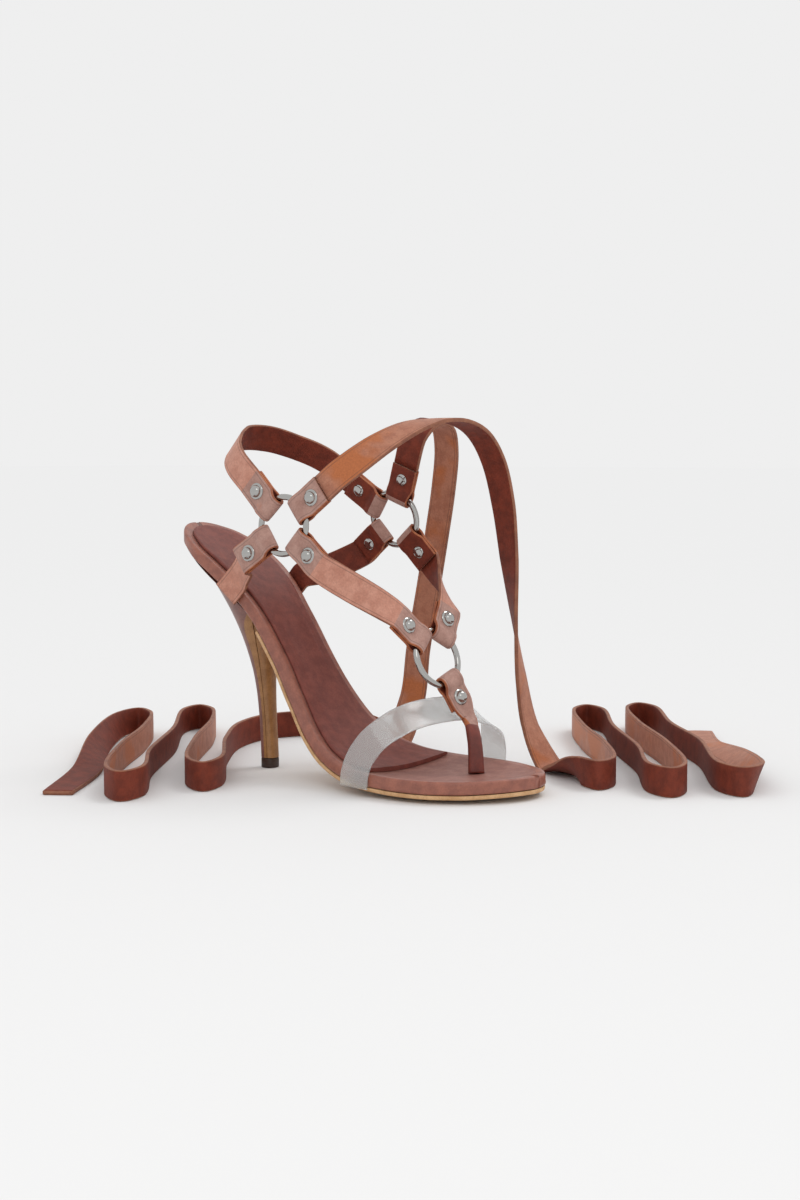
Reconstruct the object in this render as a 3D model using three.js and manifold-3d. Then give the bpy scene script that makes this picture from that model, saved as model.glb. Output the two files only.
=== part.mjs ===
// Right gladiator sandal on a stiletto heel, with three rings, riveted straps and two long leather ties.
// Millimetres, +Z up. The toe points to -Y, the heel to +Y, the outer (lateral) side to -X.
import * as THREE from 'three';
import Module from 'manifold-3d';

const wasm = await Module();
wasm.setup();
const { Manifold, Mesh: SolidMesh } = wasm;

// ---------- driving sizes ----------
const LENGTH = 211;            // plan length, seat to toe
const BACK_Y = 105.5;          // Y of the back of the seat
const RIM_THICK = 6.3;         // leather-wrapped board
const OUTSOLE_THICK = 2.0;
const GAP = 0.3;               // between pieces that meet
const SOCK_INSET = 5.0;
const SOCK_FRONT = 141;        // where the padded sock ends
const SOCK_THICK = 1.7;
const STRAP = 14.5;            // strap width
const STRAP_AT_RING = 12.8;    // strap width in the fold round a ring
const LEATHER = 1.5;           // strap thickness
const RING_R = 13.75;          // ring, to the middle of the wire
const WIRE_R = 1.5;
const CLEAR_THICK = 1.0;
const CLEAR_WIDTH = 15;
const TIE_THICK = 2.0;
const TIE_WIDTH = 14.5;
const TOP_PIECE = 5.0;
const TAB_END = 7;             // leather beyond the middle of a stud

// ---------- tables (s = distance forward from the back of the seat) ----------
// z: height of the rim's edge; cup: how much lower the middle is; half: half width; mid: middle of the width
const LAST = [
  { s: 0, z: 127, cup: 0.4, half: 0, mid: 0.0 },
  { s: 4, z: 124.7, cup: 1.2, half: 13.0, mid: 0.0 },
  { s: 12, z: 120.6, cup: 2.2, half: 20.8, mid: 0.0 },
  { s: 26, z: 112.6, cup: 3.0, half: 25.6, mid: 0.0 },
  { s: 38, z: 104.8, cup: 3.0, half: 25.4, mid: -0.2 },
  { s: 51, z: 94.6, cup: 2.6, half: 23.2, mid: -0.5 },
  { s: 64, z: 80.2, cup: 2.2, half: 20.8, mid: -1.0 },
  { s: 77, z: 62.0, cup: 1.8, half: 20.4, mid: -1.6 },
  { s: 90, z: 43.0, cup: 1.6, half: 22.4, mid: -2.2 },
  { s: 103, z: 27.2, cup: 1.8, half: 26.4, mid: -2.4 },
  { s: 115, z: 18.4, cup: 2.6, half: 30.6, mid: -2.0 },
  { s: 129, z: 13.6, cup: 3.3, half: 34.8, mid: -1.2 },
  { s: 146, z: 11.6, cup: 3.5, half: 38.2, mid: -0.3 },
  { s: 160, z: 11.1, cup: 3.2, half: 39.2, mid: 0.4 },
  { s: 174, z: 10.9, cup: 2.8, half: 37.6, mid: 1.2 },
  { s: 188, z: 10.9, cup: 2.2, half: 31.8, mid: 2.6 },
  { s: 200, z: 11.3, cup: 1.2, half: 22.4, mid: 4.2 },
  { s: 207, z: 11.7, cup: 0.6, half: 13.6, mid: 5.4 },
  { s: 211, z: 12.0, cup: 0.3, half: 0, mid: 6.2 },
];
// horizontal sections of the heel
const HEEL = [
  { z: 5.3, back: 46.3, front: 55.2, half: 4.4 },
  { z: 20, back: 45.7, front: 54.3, half: 4.4 },
  { z: 35, back: 44.4, front: 53.5, half: 4.8 },
  { z: 48, back: 42.1, front: 53.2, half: 5.7 },
  { z: 60, back: 38.2, front: 53.9, half: 7.4 },
  { z: 70, back: 34.0, front: 55.3, half: 9.5 },
  { z: 80, back: 28.7, front: 57.6, half: 12.2 },
  { z: 91, back: 21.9, front: 60.2, half: 16.2 },
  { z: 102, back: 14.2, front: 61.6, half: 20.6 },
  { z: 112, back: 7.0, front: 62.0, half: 24.0 },
  { z: 119, back: 2.2, front: 62.0, half: 25.0 },
  { z: 127, back: 1.4, front: 62.0, half: 25.2 },
];
// middle of each ring, its plane, and the straps that fold round it (angle in the ring's plane, stud distance)
const RINGS = {
  lateral: { at: [-37, 92.5, 127], ahead: [0.03, 1, 0], up: [0.07, 0, 1], out: [-1, 0, 0] },
  medial: { at: [38, 103, 128.5], ahead: [0, 1, 0], up: [-0.18, 0, 1], out: [1, 0, 0] },
  instep: { at: [4, 154.5, 63.3], ahead: [0.95, 0.2, -0.2], up: [0, -0.33, 0.94], out: [0, 0.89, 0.45] },
};
const FOLDS = {
  ankle_l: { ring: 'lateral', angle: 135, stud: 23 },
  tie_l: { ring: 'lateral', angle: 38, stud: 22 },
  heel_l: { ring: 'lateral', angle: 215, stud: 24.5 },
  vamp_l: { ring: 'lateral', angle: 320, stud: 22 },
  ankle_m: { ring: 'medial', angle: 144, stud: 25 },
  tie_m: { ring: 'medial', angle: 68, stud: 22 },
  heel_m: { ring: 'medial', angle: 218, stud: 22 },
  vamp_m: { ring: 'medial', angle: 310, stud: 22 },
  vamp_l2: { ring: 'instep', angle: 145, stud: 23 },
  vamp_m2: { ring: 'instep', angle: 69, stud: 22 },
  toe: { ring: 'instep', angle: 302, stud: 22 },
};

// ---------- helpers ----------
const at = (x, s, z) => new THREE.Vector3(x, BACK_Y - s, z);
const dir = (x, s, z) => new THREE.Vector3(x, -s, z).normalize();
const clamp = (v, lo, hi) => Math.min(hi, Math.max(lo, v));
const mix = (a, b, t) => a + (b - a) * t;

// smooth monotone curve through the rows of a table
function curveOf(rows, kx, ky, map = (v) => v) {
  const x = rows.map((r) => r[kx]);
  const y = rows.map((r) => map(r[ky]));
  const n = x.length;
  const d = [];
  for (let i = 0; i < n - 1; i++) d.push((y[i + 1] - y[i]) / (x[i + 1] - x[i]));
  const m = [d[0]];
  for (let i = 1; i < n - 1; i++) {
    if (d[i - 1] * d[i] <= 0) {
      m.push(0);
    } else {
      const h0 = x[i] - x[i - 1];
      const h1 = x[i + 1] - x[i];
      const w1 = 2 * h1 + h0;
      const w2 = h1 + 2 * h0;
      m.push((w1 + w2) / (w1 / d[i - 1] + w2 / d[i]));
    }
  }
  m.push(d[n - 2]);
  return (v) => {
    const q = clamp(v, x[0], x[n - 1]);
    let i = 0;
    while (i < n - 2 && q > x[i + 1]) i++;
    const h = x[i + 1] - x[i];
    const t = (q - x[i]) / h;
    const a = (1 + 2 * t) * (1 - t) * (1 - t) * y[i];
    const b = t * (1 - t) * (1 - t) * h * m[i];
    const c = t * t * (3 - 2 * t) * y[i + 1];
    const e = t * t * (t - 1) * h * m[i + 1];
    return a + b + c + e;
  };
}

// closed solid through rings of points, capped at both ends
function loft(rings) {
  const n = rings[0].length;
  const pos = [];
  const index = [];
  for (const ring of rings) for (const p of ring) pos.push(p.x, p.y, p.z);
  for (let i = 0; i < rings.length - 1; i++) {
    for (let j = 0; j < n; j++) {
      const a = i * n + j;
      const b = i * n + ((j + 1) % n);
      index.push(a, b, b + n, a, b + n, a + n);
    }
  }
  const cap = (ring, base, flip) => {
    const c = new THREE.Vector3();
    ring.forEach((p) => c.add(p));
    c.divideScalar(n);
    const normal = new THREE.Vector3();
    for (let j = 0; j < n; j++) {
      const a = ring[j].clone().sub(c);
      const b = ring[(j + 1) % n].clone().sub(c);
      normal.add(a.cross(b));
    }
    normal.normalize();
    const u = new THREE.Vector3(1, 0, 0);
    if (Math.abs(normal.x) > 0.8) u.set(0, 1, 0);
    u.addScaledVector(normal, -u.dot(normal)).normalize();
    const v = normal.clone().cross(u);
    const flat = ring.map((p) => new THREE.Vector2(p.clone().sub(c).dot(u), p.clone().sub(c).dot(v)));
    for (const f of THREE.ShapeUtils.triangulateShape(flat, [])) {
      if (flip) index.push(base + f[0], base + f[2], base + f[1]);
      else index.push(base + f[0], base + f[1], base + f[2]);
    }
  };
  cap(rings[0], 0, true);
  cap(rings[rings.length - 1], (rings.length - 1) * n, false);
  const g = new THREE.BufferGeometry();
  g.setAttribute('position', new THREE.Float32BufferAttribute(pos, 3));
  g.setIndex(index);
  return outward(g);
}

// turns a closed geometry the right way out
function outward(g) {
  const p = g.getAttribute('position');
  const ix = g.getIndex();
  const a = new THREE.Vector3();
  const b = new THREE.Vector3();
  const c = new THREE.Vector3();
  let vol = 0;
  for (let i = 0; i < ix.count; i += 3) {
    a.fromBufferAttribute(p, ix.getX(i));
    b.fromBufferAttribute(p, ix.getX(i + 1));
    c.fromBufferAttribute(p, ix.getX(i + 2));
    vol += a.dot(b.cross(c));
  }
  if (vol < 0) {
    for (let i = 0; i < ix.count; i += 3) {
      const t = ix.getX(i + 1);
      ix.setX(i + 1, ix.getX(i + 2));
      ix.setX(i + 2, t);
    }
  }
  return g;
}

// to and from the boolean library
function solid(g) {
  const src = g.getAttribute('position');
  const seen = new Map();
  const verts = [];
  const to = [];
  for (let i = 0; i < src.count; i++) {
    const key = [src.getX(i), src.getY(i), src.getZ(i)].map((v) => Math.round(v * 1e4)).join();
    if (!seen.has(key)) {
      seen.set(key, verts.length / 3);
      verts.push(src.getX(i), src.getY(i), src.getZ(i));
    }
    to.push(seen.get(key));
  }
  const ids = g.getIndex() ? Array.from(g.getIndex().array) : to.map((_, i) => i);
  const tris = [];
  for (let i = 0; i < ids.length; i += 3) {
    const [p, q, r] = [to[ids[i]], to[ids[i + 1]], to[ids[i + 2]]];
    if (p !== q && q !== r && r !== p) tris.push(p, q, r);
  }
  return new Manifold(new SolidMesh({
    numProp: 3,
    vertProperties: new Float32Array(verts),
    triVerts: new Uint32Array(tris),
  }));
}

function geometry(m) {
  const mesh = m.getMesh();
  const pos = [];
  for (let i = 0; i < mesh.vertProperties.length; i += mesh.numProp) {
    pos.push(mesh.vertProperties[i], mesh.vertProperties[i + 1], mesh.vertProperties[i + 2]);
  }
  const g = new THREE.BufferGeometry();
  g.setAttribute('position', new THREE.Float32BufferAttribute(pos, 3));
  g.setIndex(Array.from(mesh.triVerts));
  return g;
}

// ---------- the last: outline and surface ----------
const edgeZ = curveOf(LAST, 's', 'z');
const cupOf = curveOf(LAST, 's', 'cup');
const halfSq = curveOf(LAST, 's', 'half', (v) => v * v);
const midOf = curveOf(LAST, 's', 'mid');
const halfOf = (s) => Math.sqrt(Math.max(0, halfSq(s)));

// the surface normal in the s-z plane; upright at the seat so that the rim stands straight there
function normalAt(s) {
  const slope = (edgeZ(s + 1) - edgeZ(s - 1)) / 2;
  const k = clamp((s - 8) / 34, 0, 1);
  const a = Math.atan(-slope) * k * k * (3 - 2 * k);
  return [Math.sin(a), Math.cos(a)];
}

// a point at distance n over the foot bed's edge surface
function bed(x, s, n) {
  const h = Math.max(halfOf(clamp(s, 0.5, LENGTH - 0.5)), 2);
  const u = clamp((x - midOf(s)) / h, -1, 1);
  const m = n - cupOf(s) * (1 - u * u);
  const [ns, nz] = normalAt(s);
  return [x, s + m * ns, edgeZ(s) + m * nz];
}

// the outline moved inward by some millimetres, as two sides x(s)
function outline(inset) {
  const sides = { lat: [], med: [] };
  const N = 240;
  for (let i = 0; i <= N; i++) {
    const s = (LENGTH / 2) * (1 - Math.cos((Math.PI * i) / N));
    for (const [key, sign] of [['lat', -1], ['med', 1]]) {
      const f = (q) => midOf(q) + sign * halfOf(q);
      const e = Math.min(0.05, (s - 0) * 0.5 + 1e-4, (LENGTH - s) * 0.5 + 1e-4);
      const s0 = clamp(s - e, 0, LENGTH);
      const s1 = clamp(s + e, 0, LENGTH);
      const t = new THREE.Vector2(s1 - s0, f(s1) - f(s0)).normalize();
      sides[key].push([s + sign * t.y * inset, f(s) - sign * t.x * inset]);
    }
  }
  const clean = (pts) => pts.filter((p, i) => i === 0 || p[0] > Math.max(...pts.slice(0, i).map((q) => q[0])));
  const side = (pts) => {
    const list = clean(pts.filter((p) => p[0] >= inset - 1e-6 && p[0] <= LENGTH - inset + 1e-6));
    return (s) => {
      let i = 0;
      while (i < list.length - 2 && s > list[i + 1][0]) i++;
      const [a, b] = [list[i], list[i + 1]];
      return mix(a[1], b[1], clamp((s - a[0]) / (b[0] - a[0]), 0, 1));
    };
  };
  return { from: inset, to: LENGTH - inset, lat: side(sides.lat), med: side(sides.med) };
}

// a layer of the sole: rows across from back to front; edge profile as [inset, n] pairs, top then bottom
function layer({ inset = 0, from, to, steps, top, bottom, round, under, floor = false, across = 3 }) {
  const o0 = outline(inset);
  const o1 = outline(inset + round * 0.35);
  const o2 = outline(inset + round);
  const o3 = outline(inset + under);
  const rings = [];
  for (let i = 0; i <= steps; i++) {
    const t = i / steps;
    const g = 0.5 * (1 - Math.cos(Math.PI * t)) * 0.86 + t * 0.14;
    const row = (o) => {
      const a = from === undefined ? o.from + 0.12 : from;
      const b = to === undefined ? o.to - 0.12 : to;
      const s = mix(a, b, g);
      return { s, lat: o.lat(s), med: o.med(s) };
    };
    const [r0, r1, r2, r3] = [row(o0), row(o1), row(o2), row(o3)];
    const pts = [];
    const add = (x, s, n) => {
      const [px, ps, pz] = bed(x, s, n);
      pts.push(at(px, ps, floor ? Math.max(0, pz) : pz));
    };
    const wall = Math.max(bottom + under, mix(bottom, top, 0.25));
    add(r0.lat, r0.s, wall);
    add(r0.lat, r0.s, top - round);
    add(r1.lat, r1.s, top - round * 0.3);
    add(r2.lat, r2.s, top);
    for (let k = 1; k <= across; k++) add(mix(r2.lat, r2.med, k / (across + 1)), r2.s, top);
    add(r2.med, r2.s, top);
    add(r1.med, r1.s, top - round * 0.3);
    add(r0.med, r0.s, top - round);
    add(r0.med, r0.s, wall);
    add(r3.med, r3.s, bottom);
    for (let k = across; k >= 1; k--) add(mix(r3.lat, r3.med, k / (across + 1)), r3.s, bottom);
    add(r3.lat, r3.s, bottom);
    rings.push(pts);
  }
  return loft(rings);
}

// ---------- straps ----------
// stations: { p, w, width } along the middle of the leather; w is the direction across the strap
function ribbon(stations, thick) {
  const n = stations.length;
  const rings = [];
  for (let i = 0; i < n; i++) {
    const a = stations[Math.max(0, i - 1)].p;
    const b = stations[Math.min(n - 1, i + 1)].p;
    const t = b.clone().sub(a).normalize();
    const w = stations[i].w.clone();
    w.addScaledVector(t, -w.dot(t)).normalize();
    const up = w.clone().cross(t).normalize();
    const hw = stations[i].width / 2;
    const ht = (stations[i].thick || thick) / 2;
    const ring = [];
    for (const [u, v] of [[-1, -1], [1, -1], [1, 1], [-1, 1]]) {
      ring.push(stations[i].p.clone().addScaledVector(w, u * hw).addScaledVector(up, v * ht));
    }
    rings.push(ring);
  }
  return loft(rings);
}

// smooth run of stations through a few given ones
function run(list, steps) {
  const curve = new THREE.CatmullRomCurve3(list.map((q) => q.p), false, 'centripetal');
  const out = [];
  for (let i = 0; i <= steps; i++) {
    const t = (i / steps) * (list.length - 1);
    const k = Math.min(list.length - 2, Math.floor(t));
    const f = t - k;
    const w = list[k].w.clone().lerp(list[k + 1].w, f).normalize();
    out.push({
      p: curve.getPoint(i / steps),
      w,
      width: mix(list[k].width, list[k + 1].width, f),
      thick: mix(list[k].thick || LEATHER, list[k + 1].thick || LEATHER, f),
    });
  }
  return out;
}

function ringFrame(name) {
  const r = RINGS[name];
  const e1 = dir(...r.ahead);
  const e2 = dir(...r.up);
  e2.addScaledVector(e1, -e2.dot(e1)).normalize();
  const out = e1.clone().cross(e2);
  if (out.dot(dir(...r.out)) < 0) out.negate();
  return { c: at(...r.at), e1, e2, out };
}

function foldFrame(key) {
  const f = FOLDS[key];
  const r = ringFrame(f.ring);
  const a = (f.angle * Math.PI) / 180;
  const d = r.e1.clone().multiplyScalar(Math.cos(a)).addScaledVector(r.e2, Math.sin(a));
  const w = r.out.clone().cross(d);
  const point = (dist, n) => r.c.clone().addScaledVector(d, dist).addScaledVector(r.out, n);
  return { ...f, d, w, out: r.out, point };
}

// from the riveted inner end, round the wire, to the outer layer just past the stud
function fold(key, inner = TAB_END, outer = TAB_END) {
  const f = foldFrame(key);
  const flat = LEATHER / 2 + 0.2;
  const high = WIRE_R + LEATHER / 2 + 0.4;
  const list = [[f.stud + inner, -flat], [f.stud, -flat], [18, -flat], [16.9, -1.3], [15.6, -2.1], [14, -high]];
  for (let k = 0; k <= 6; k++) {
    const a = (Math.PI * k) / 6;
    list.push([12.2 - 3 * Math.sin(a), -high * Math.cos(a)]);
  }
  list.push([14, high], [15.6, 2.1], [16.9, 1.3], [18, flat], [f.stud, flat], [f.stud + outer, flat]);
  return list.map(([dist, n]) => ({
    p: f.point(dist, n),
    w: f.w,
    width: mix(STRAP_AT_RING, STRAP, clamp((dist - 12.5) / 5, 0, 1)),
  }));
}

// strap from one fold through free points to another fold or a free end
function strap(startKey, via, endKey, steps) {
  const head = fold(startKey);
  const last = head[head.length - 1];
  let tail = [];
  if (endKey) {
    tail = fold(endKey).reverse();
    if (tail[0].w.dot(last.w) < 0) tail.forEach((q) => { q.w = q.w.clone().negate(); });
  }
  const free = via.map((v) => ({ p: at(...v.at), w: v.w ? dir(...v.w) : last.w, width: v.width || STRAP }));
  if (endKey) {
    free.forEach((q, i) => {
      if (!via[i].w) q.w = last.w.clone().lerp(tail[0].w, (i + 1) / (free.length + 1)).normalize();
    });
  }
  free.forEach((q) => {
    if (q.w.dot(last.w) < 0) q.w.negate();
  });
  const mid = run([last, ...free, ...(endKey ? [tail[0]] : [])], steps);
  return [...head.slice(0, -1), ...mid, ...tail.slice(1)];
}

function withHoles(g, keys) {
  let body = solid(g);
  for (const key of keys) {
    const f = foldFrame(key);
    const cyl = new THREE.CylinderGeometry(1.3, 1.3, 10, 8);
    const q = new THREE.Quaternion().setFromUnitVectors(new THREE.Vector3(0, 1, 0), f.out);
    cyl.applyMatrix4(new THREE.Matrix4().compose(f.point(f.stud, 0), q, new THREE.Vector3(1, 1, 1)));
    body = body.subtract(solid(cyl));
  }
  return geometry(body);
}

// domed rivet with a thin flange, its shank and a flat back
function stud() {
  const top = LEATHER + 0.2 + 0.12;
  const pts = [[0, -top - 0.7], [2.6, -top - 0.5], [3.1, -top], [1, -top], [1, top], [4, top], [4, top + 0.45],
    [3.2, top + 0.75], [2.6, top + 2.1], [0, top + 3.05]];
  return new THREE.LatheGeometry(pts.map((p) => new THREE.Vector2(...p)), 12);
}

// ---------- materials ----------
const paint = (color, roughness, metalness = 0) => new THREE.MeshStandardMaterial({ color, roughness, metalness });
const MAT = {
  rose: () => paint(0x9b6a58, 0.8),
  wrap: () => paint(0x7a5148, 0.75),
  sock: () => paint(0x63372f, 0.8),
  tan: () => paint(0x9a6a3c, 0.6),
  outsole: () => paint(0xcaa47c, 0.6),
  dark: () => paint(0x4a2a18, 0.5),
  post: () => paint(0x6e241a, 0.6),
  chrome: () => paint(0xd8d8d8, 0.15, 1),
  tie: () => paint(0xa2654a, 0.8),
  clear: () => new THREE.MeshStandardMaterial({
    color: 0xdfe2e4, roughness: 0.12, metalness: 0, transparent: true, opacity: 0.4,
  }),
};

const shoe = new THREE.Group();
shoe.name = 'gladiator_sandal';
function add(name, g, material) {
  g.computeVertexNormals();
  const mesh = new THREE.Mesh(g, material);
  mesh.name = name;
  shoe.add(mesh);
  return mesh;
}

// ---------- sole ----------
const POST_AT = { x: 8.4, s: 174.6 };
let platform = solid(layer({
  steps: 46, top: 0, bottom: -RIM_THICK, round: 1.8, under: 0.8,
}));
const slot = new THREE.BoxGeometry(8.6, 5.8, 12);
slot.rotateZ(-Math.PI / 4);
slot.translate(POST_AT.x, BACK_Y - POST_AT.s, edgeZ(POST_AT.s) - 1);
platform = platform.subtract(solid(slot));
add('platform', geometry(platform), MAT.wrap());

add('sock', layer({
  inset: SOCK_INSET, to: SOCK_FRONT, steps: 34, top: GAP + SOCK_THICK, bottom: GAP, round: 1.2, under: 0.05,
}), MAT.sock());

const sole2 = -RIM_THICK - GAP;
add('outsole', layer({
  inset: 0.5, from: 66.5, steps: 34, top: sole2, bottom: sole2 - OUTSOLE_THICK, round: 0.05, under: 0.4, floor: true,
}), MAT.outsole());

// ---------- heel ----------
const hBack = curveOf(HEEL, 'z', 'back');
const hFront = curveOf(HEEL, 'z', 'front');
const hHalf = curveOf(HEEL, 'z', 'half');
const BREAST_ANGLE = 72;
const BREAST_THICK = 1.0;
// a is measured from straight ahead; inset moves the point inward
function heelPoint(z, a, inset) {
  const c = (hBack(z) + hFront(z)) / 2;
  const b = (hFront(z) - hBack(z)) / 2;
  const r = (a * Math.PI) / 180;
  const [co, si] = [Math.cos(r), Math.sin(r)];
  const e = co > 0 ? 0.84 : 1;
  const x = hHalf(z) * Math.sign(si) * Math.pow(Math.abs(si), e);
  const s = b * Math.sign(co) * Math.pow(Math.abs(co), e);
  const len = Math.hypot(x, s);
  const k = (len - inset) / len;
  return at(x * k, c + s * k, z);
}
const heights = [5.3, 20, 35, 43, 50, 56, 62, 68, 74, 80, 86, 92, 98, 104, 110, 116, 121, 127];
const coreAngles = [-BREAST_ANGLE + 0.5, -48, -24, 0, 24, 48, BREAST_ANGLE - 0.5];
const backAngles = [BREAST_ANGLE + 2, 95, 115, 135, 157, 180, 203, 225, 245, 265, 358 - BREAST_ANGLE];
let heel = solid(loft(heights.map((z) => [
  ...coreAngles.map((a) => heelPoint(z, a, BREAST_THICK + GAP)),
  ...backAngles.map((a) => heelPoint(z, a, 0)),
])));
// everything above the underside of the rim
const above = solid(loft(Array.from({ length: 27 }, (_, i) => {
  const s = mix(-4, 100, i / 26);
  const [ns, nz] = normalAt(Math.max(0, s));
  const z = s < 0 ? edgeZ(0) - s * 0.57 : edgeZ(s);
  const m = -RIM_THICK - GAP;
  const c = cupOf(clamp(s, 0, 100));
  const hw = Math.max(halfOf(clamp(s, 0, 100)), 2);
  const low = [-1.4, -1, -0.5, 0, 0.5, 1, 1.4].map((u) => {
    const q = m - c * Math.max(0, 1 - u * u);
    return at(u * hw + midOf(clamp(s, 0, 100)), s + q * ns, z + q * nz);
  });
  return [at(-40, s, 190), at(-40, s + m * ns, z + m * nz), ...low, at(40, s + m * ns, z + m * nz), at(40, s, 190)];
})));
heel = heel.subtract(above);
add('heel', geometry(heel), MAT.wrap());

const breastHeights = [5.3, 20, 35, 43, 50, 56, 62, 68, 74, 80, 86];
const coverAngles = [-BREAST_ANGLE + 3, -48, -24, 0, 24, 48, BREAST_ANGLE - 3];
const cover = solid(loft(breastHeights.map((z) => [
  ...coverAngles.map((a) => heelPoint(z, a, 0)),
  ...coverAngles.slice().reverse().map((a) => heelPoint(z, a, BREAST_THICK)),
])));
add('heel_breast', geometry(cover.subtract(above)), MAT.tan());

const tipRing = (z, grow) => Array.from({ length: 18 }, (_, k) => heelPoint(5.3, k * 20, -grow).setZ(z));
add('top_piece', loft([tipRing(0, -0.3), tipRing(0.4, 0), tipRing(TOP_PIECE, 0)]), MAT.dark());

// ---------- rings ----------
for (const [name, label] of [['lateral', 'ring_lateral'], ['medial', 'ring_medial'], ['instep', 'ring_instep']]) {
  const r = ringFrame(name);
  const circle = Array.from({ length: 9 }, (_, k) => {
    const a = (k * Math.PI) / 4;
    return new THREE.Vector2(RING_R + WIRE_R * Math.cos(a), WIRE_R * Math.sin(a));
  });
  const g = new THREE.LatheGeometry(circle, 28);
  g.applyQuaternion(new THREE.Quaternion().setFromUnitVectors(new THREE.Vector3(0, 1, 0), r.out));
  g.translate(r.c.x, r.c.y, r.c.z);
  add(label, g, MAT.chrome());
}

// ---------- studs ----------
for (const key of Object.keys(FOLDS)) {
  const f = foldFrame(key);
  const g = stud();
  g.applyQuaternion(new THREE.Quaternion().setFromUnitVectors(new THREE.Vector3(0, 1, 0), f.out));
  const p = f.point(f.stud, 0);
  g.translate(p.x, p.y, p.z);
  add(`stud_${key}`, g, MAT.chrome());
}

// ---------- leather straps ----------
// the end of a heel strap lies on the outside of the rim
function heelStrap(key, side, ringAt) {
  const wall = (s) => midOf(s) + side * (halfOf(s) + 0.35 + LEATHER / 2);
  const via = [
    { at: [side * 33.2, 64, 107.3] },
    { at: [side * 28.6, 57.5, 102.6] },
    { at: [wall(50) + side * 1.2, 52.5, 98.6], w: [side * -0.12, 0.55, -0.83] },
    { at: [wall(48) + side * 0.5, 47.8, 94.2], w: [side * -0.14, 0.6, -0.8] },
    { at: [wall(46) + side * 0.5, 44.6, 90.9], w: [side * -0.14, 0.6, -0.8] },
  ];
  if (side > 0) {
    via[0].at = [37.8, 72.4, 106.4];
    via[1].at = [30.6, 61.6, 101];
  }
  return ringAt && strap(key, via, null, 14);
}
add('heel_strap_lateral', withHoles(ribbon(heelStrap('heel_l', -1, true), LEATHER), ['heel_l']), MAT.rose());
add('heel_strap_medial', withHoles(ribbon(heelStrap('heel_m', 1, true), LEATHER), ['heel_m']), MAT.rose());

add('ankle_strap', withHoles(ribbon(strap('ankle_l', [
  { at: [-32, 57, 158] },
  { at: [-21, 46.5, 165.5] },
  { at: [-8, 41.5, 169.5], w: [0, 0.5, 0.86] },
  { at: [8, 42, 169.5], w: [0, 0.5, 0.86] },
  { at: [22, 49, 165.5] },
  { at: [33, 61, 158.5] },
], 'ankle_m', 26), LEATHER), ['ankle_l', 'ankle_m']), MAT.rose());

add('vamp_strap_lateral', withHoles(ribbon(strap('vamp_l', [], 'vamp_l2', 8), LEATHER), ['vamp_l', 'vamp_l2']), MAT.rose());

add('vamp_strap_medial', withHoles(ribbon(strap('vamp_m', [], 'vamp_m2', 8), LEATHER), ['vamp_m', 'vamp_m2']), MAT.rose());

// toe tab: fold on the instep ring, then narrows to the post between the toes
const toeTab = fold('toe', 4.5, 1.5);
const toeFrame = foldFrame('toe');
const onTab = (dist, n) => toeFrame.point(toeFrame.stud + dist, n);
const toeRun = run([
  { p: onTab(1.5, 0.95), w: toeFrame.w, width: 14.8 },
  { p: onTab(6, 0.8), w: toeFrame.w, width: 12.6 },
  { p: onTab(10, 0.4), w: toeFrame.w, width: 9.2, thick: 1.9 },
  { p: at(11, 170, 30.6), w: dir(1, 0.1, 0), width: 6.8, thick: 3.4 },
  { p: at(9.6, 172.8, 23), w: dir(0.8, 0.5, 0), width: 6.8, thick: 4.2 },
  { p: at(9, 173.9, 16), w: dir(0.7, 0.7, 0), width: 7.2, thick: 4.6 },
  { p: at(POST_AT.x, POST_AT.s, 8.6), w: dir(0.7, 0.7, 0), width: 7.8, thick: 5 },
].map((q) => {
  if (q.w.dot(toeFrame.w) < 0) q.w = q.w.clone().negate();
  return q;
}), 14);
add('toe_strap_post', withHoles(ribbon([...toeTab.slice(0, -1), ...toeRun], LEATHER), ['toe']), MAT.rose());

// ---------- clear strap over the toes ----------
const clearPath = [
  { at: [-40.3, 138, 4.6], w: [0.1, 1, 0] },
  { at: [-40.5, 138.5, 10], w: [0.1, 1, 0] },
  { at: [-39.2, 140, 17], w: [0.1, 1, -0.1] },
  { at: [-34.5, 144, 26], w: [0.1, 1, -0.35] },
  { at: [-25, 148.8, 32.8], w: [0.05, 1, -0.7] },
  { at: [-12, 152.6, 36.8], w: [0, 1, -0.95] },
  { at: [4, 155.4, 38] , w: [0, 1, -1] },
  { at: [18, 157.4, 37.2], w: [0, 1, -0.95] },
  { at: [30, 160, 33.2], w: [-0.05, 1, -0.75] },
  { at: [38.5, 162.5, 26], w: [-0.1, 1, -0.4] },
  { at: [41.8, 162, 17], w: [-0.05, 1, -0.1] },
  { at: [42, 161.5, 10], w: [0, 1, 0] },
  { at: [41.6, 161.2, 4.6], w: [0, 1, 0] },
].map((q) => ({ p: at(...q.at), w: dir(...q.w), width: CLEAR_WIDTH, thick: CLEAR_THICK }));
add('clear_strap', ribbon(run(clearPath, 30), CLEAR_THICK), MAT.clear());

// ---------- tie tabs ----------
for (const [name, key] of [['tie_tab_lateral', 'tie_l'], ['tie_tab_medial', 'tie_m']]) {
  add(name, withHoles(ribbon(fold(key), LEATHER), [key]), MAT.rose());
}

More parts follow.
